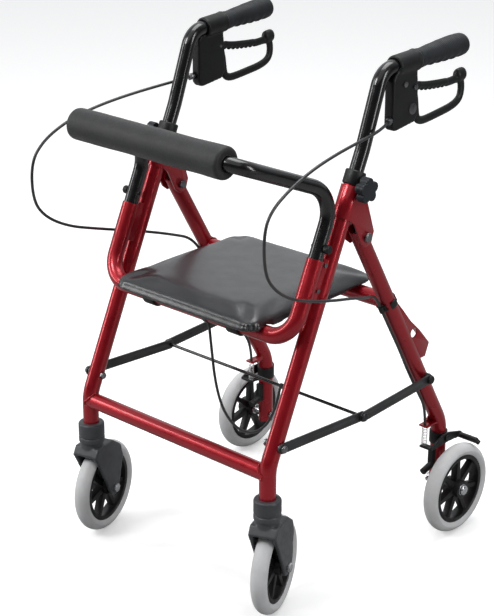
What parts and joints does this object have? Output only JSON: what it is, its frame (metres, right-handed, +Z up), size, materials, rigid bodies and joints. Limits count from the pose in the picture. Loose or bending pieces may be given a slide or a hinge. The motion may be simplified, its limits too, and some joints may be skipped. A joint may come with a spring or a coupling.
{
  "type": "rollator walker",
  "caption": "Folding rollator walker with a padded flip-up seat, roll backrest, loop brake levers, swivelling front casters and height-adjustable handles.",
  "frame": {"origin": "on the floor, midway between the foremost and the rearmost point and between the two sides", "axes": "+Z up, -Y towards the casters, +X to the right of someone sitting on the seat and facing the grips"},
  "size_m": [0.5032, 0.5578, 0.8283],
  "materials": {
    "red_paint": "gloss metallic",
    "black_paint": "gloss",
    "grey_steel": "satin",
    "bright_steel": "polished",
    "zinc_steel": "satin",
    "charcoal_plastic": "satin moulded",
    "black_plastic": "matte moulded",
    "grip_rubber": "matte",
    "foam": "matte foam",
    "vinyl": "soft sheen",
    "grey_tyre": "matte",
    "cable_sheath": "satin",
    "webbing": "woven",
    "seat_base": "matte"
  },
  "bodies": {
    "front_frame": {"front_leg_l": "red_paint", "front_leg_r": "red_paint", "front_crossbar": "red_paint", "seat_front_tube": "red_paint", "pivot_brackets": "red_paint", "sleeve_gussets": "red_paint", "leg_collars": "black_plastic", "front_frame_bolts": "bright_steel", "caster_sockets": "charcoal_plastic", "pull_strap": "webbing", "upper_cable_l": "cable_sheath", "upper_cable_r": "cable_sheath", "lower_cable_l": "cable_sheath", "lower_cable_r": "cable_sheath"},
    "rear_frame": {"rear_leg_l": "red_paint", "rear_leg_r": "red_paint", "rear_cross_tube": "red_paint", "rear_gussets": "red_paint", "rear_frame_fixings": "black_plastic", "brake_tabs": "red_paint", "rear_axles": "bright_steel", "brake_spring_l": "zinc_steel", "brake_spring_r": "zinc_steel"},
    "spreader_front": {"spreader_front_bars": "grey_steel", "spreader_rod": "black_paint"},
    "spreader_rear": {"spreader_rear_bars": "grey_steel", "spreader_centre_bolts": "black_plastic"},
    "seat": {"seat_board": "seat_base", "seat_pad": "vinyl", "seat_clips": "black_plastic"},
    "backrest": {"backrest_tube": "black_paint", "backrest_foam": "foam"},
    "backrest_knob_l": {"backrest_knob_l": "black_plastic"},
    "handle_l": {"handle_tube_l": "black_paint", "hand_grip_l": "grip_rubber", "brake_housing_l": "black_plastic", "lever_fittings_l": "bright_steel"},
    "star_knob_l": {"star_knob_l": "black_plastic"},
    "brake_lever_l": {"brake_lever_l": "black_plastic"},
    "brake_arm_l": {"brake_arm_l": "black_plastic"},
    "caster_l": {"caster_fork_l": "charcoal_plastic", "caster_bolts_l": "bright_steel"},
    "wheel_fl": {"rim_fl": "black_plastic", "tyre_fl": "grey_tyre"},
    "wheel_rl": {"rim_rl": "black_plastic", "tyre_rl": "grey_tyre"},
    "backrest_knob_r": {"backrest_knob_r": "black_plastic"},
    "handle_r": {"handle_tube_r": "black_paint", "hand_grip_r": "grip_rubber", "brake_housing_r": "black_plastic", "lever_fittings_r": "bright_steel"},
    "star_knob_r": {"star_knob_r": "black_plastic"},
    "brake_lever_r": {"brake_lever_r": "black_plastic"},
    "brake_arm_r": {"brake_arm_r": "black_plastic"},
    "caster_r": {"caster_fork_r": "charcoal_plastic", "caster_bolts_r": "bright_steel"},
    "wheel_fr": {"rim_fr": "black_plastic", "tyre_fr": "grey_tyre"},
    "wheel_rr": {"rim_rr": "black_plastic", "tyre_rr": "grey_tyre"}
  },
  "joints": [
    {"name": "frame_fold", "type": "hinge", "parent": "front_frame", "child": "rear_frame", "pos_m": [0, -0.02, 0.562], "axis": [-1, 0, 0], "range_deg": [0, 26], "deforming": ["lower_cable_l", "lower_cable_r", "pull_strap"]},
    {"name": "spreader_front_fold", "type": "hinge", "parent": "front_frame", "child": "spreader_front", "pos_m": [0, -0.20169, 0.284], "axis": [1, 0, 0], "range_deg": [0, 41.6]},
    {"name": "spreader_rear_fold", "type": "hinge", "parent": "rear_frame", "child": "spreader_rear", "pos_m": [0, 0.14303, 0.283], "axis": [-1, 0, 0], "range_deg": [0, 48.1]},
    {"name": "seat_flip", "type": "hinge", "parent": "front_frame", "child": "seat", "pos_m": [0, -0.16837, 0.4367], "axis": [1, 0, 0], "range_deg": [0, 92]},
    {"name": "backrest_lift", "type": "slide", "parent": "front_frame", "child": "backrest", "axis": [0, 0.4147, 0.91], "range_m": [0, 0.06]},
    {"name": "backrest_knob_turn_l", "type": "hinge", "parent": "backrest", "child": "backrest_knob_l", "pos_m": [-0.192, -0.10944, 0.566], "axis": [1, 0, 0], "continuous": true},
    {"name": "handle_height_l", "type": "slide", "parent": "front_frame", "child": "handle_l", "axis": [0, 0.4147, 0.91], "range_m": [0, 0.125], "deforming": ["upper_cable_l"]},
    {"name": "star_knob_turn_l", "type": "hinge", "parent": "front_frame", "child": "star_knob_l", "pos_m": [-0.192, -0.039, 0.641], "axis": [1, 0, 0], "continuous": true},
    {"name": "lever_squeeze_l", "type": "hinge", "parent": "handle_l", "child": "brake_lever_l", "pos_m": [-0.194, 0.0863, 0.7668], "axis": [1, 0, 0], "range_deg": [0, 10], "stiffness_Nm_per_rad": 4, "springref_deg": -2.86},
    {"name": "brake_arm_turn_l", "type": "hinge", "parent": "rear_frame", "child": "brake_arm_l", "pos_m": [-0.207, 0.19789, 0.16], "axis": [-1, 0, 0], "range_deg": [0, 4.5], "deforming": ["brake_spring_l"]},
    {"name": "caster_swivel_l", "type": "hinge", "parent": "front_frame", "child": "caster_l", "pos_m": [-0.192, -0.21627, 0.1], "axis": [0, 0, 1], "continuous": true},
    {"name": "wheel_spin_fl", "type": "hinge", "parent": "caster_l", "child": "wheel_fl", "pos_m": [-0.19976, -0.1873, 0.0762], "axis": [0.9659, 0.2588, 0], "continuous": true},
    {"name": "wheel_spin_rl", "type": "hinge", "parent": "rear_frame", "child": "wheel_rl", "pos_m": [-0.2306, 0.20089, 0.0762], "axis": [1, 0, 0], "continuous": true},
    {"name": "backrest_knob_turn_r", "type": "hinge", "parent": "backrest", "child": "backrest_knob_r", "pos_m": [0.192, -0.10944, 0.566], "axis": [1, 0, 0], "continuous": true},
    {"name": "handle_height_r", "type": "slide", "parent": "front_frame", "child": "handle_r", "axis": [0, 0.4147, 0.91], "range_m": [0, 0.125], "deforming": ["upper_cable_r"]},
    {"name": "star_knob_turn_r", "type": "hinge", "parent": "front_frame", "child": "star_knob_r", "pos_m": [0.192, -0.039, 0.641], "axis": [1, 0, 0], "continuous": true},
    {"name": "lever_squeeze_r", "type": "hinge", "parent": "handle_r", "child": "brake_lever_r", "pos_m": [0.194, 0.0863, 0.7668], "axis": [1, 0, 0], "range_deg": [0, 10], "stiffness_Nm_per_rad": 4, "springref_deg": -2.86},
    {"name": "brake_arm_turn_r", "type": "hinge", "parent": "rear_frame", "child": "brake_arm_r", "pos_m": [0.207, 0.19789, 0.16], "axis": [-1, 0, 0], "range_deg": [0, 4.5], "deforming": ["brake_spring_r"]},
    {"name": "caster_swivel_r", "type": "hinge", "parent": "front_frame", "child": "caster_r", "pos_m": [0.192, -0.21627, 0.1], "axis": [0, 0, 1], "continuous": true},
    {"name": "wheel_spin_fr", "type": "hinge", "parent": "caster_r", "child": "wheel_fr", "pos_m": [0.18076, -0.18846, 0.0762], "axis": [0.9272, 0.3746, 0], "continuous": true},
    {"name": "wheel_spin_rr", "type": "hinge", "parent": "rear_frame", "child": "wheel_rr", "pos_m": [0.2306, 0.20089, 0.0762], "axis": [1, 0, 0], "continuous": true}
  ],
  "couplings": [
    {"joint": "spreader_front_fold", "follows": "frame_fold", "ratio": 1.6},
    {"joint": "spreader_rear_fold", "follows": "frame_fold", "ratio": 1.85},
    {"joint": "brake_arm_turn_l", "follows": "lever_squeeze_l", "ratio": 0.45},
    {"joint": "brake_arm_turn_r", "follows": "lever_squeeze_r", "ratio": 0.45}
  ]
}
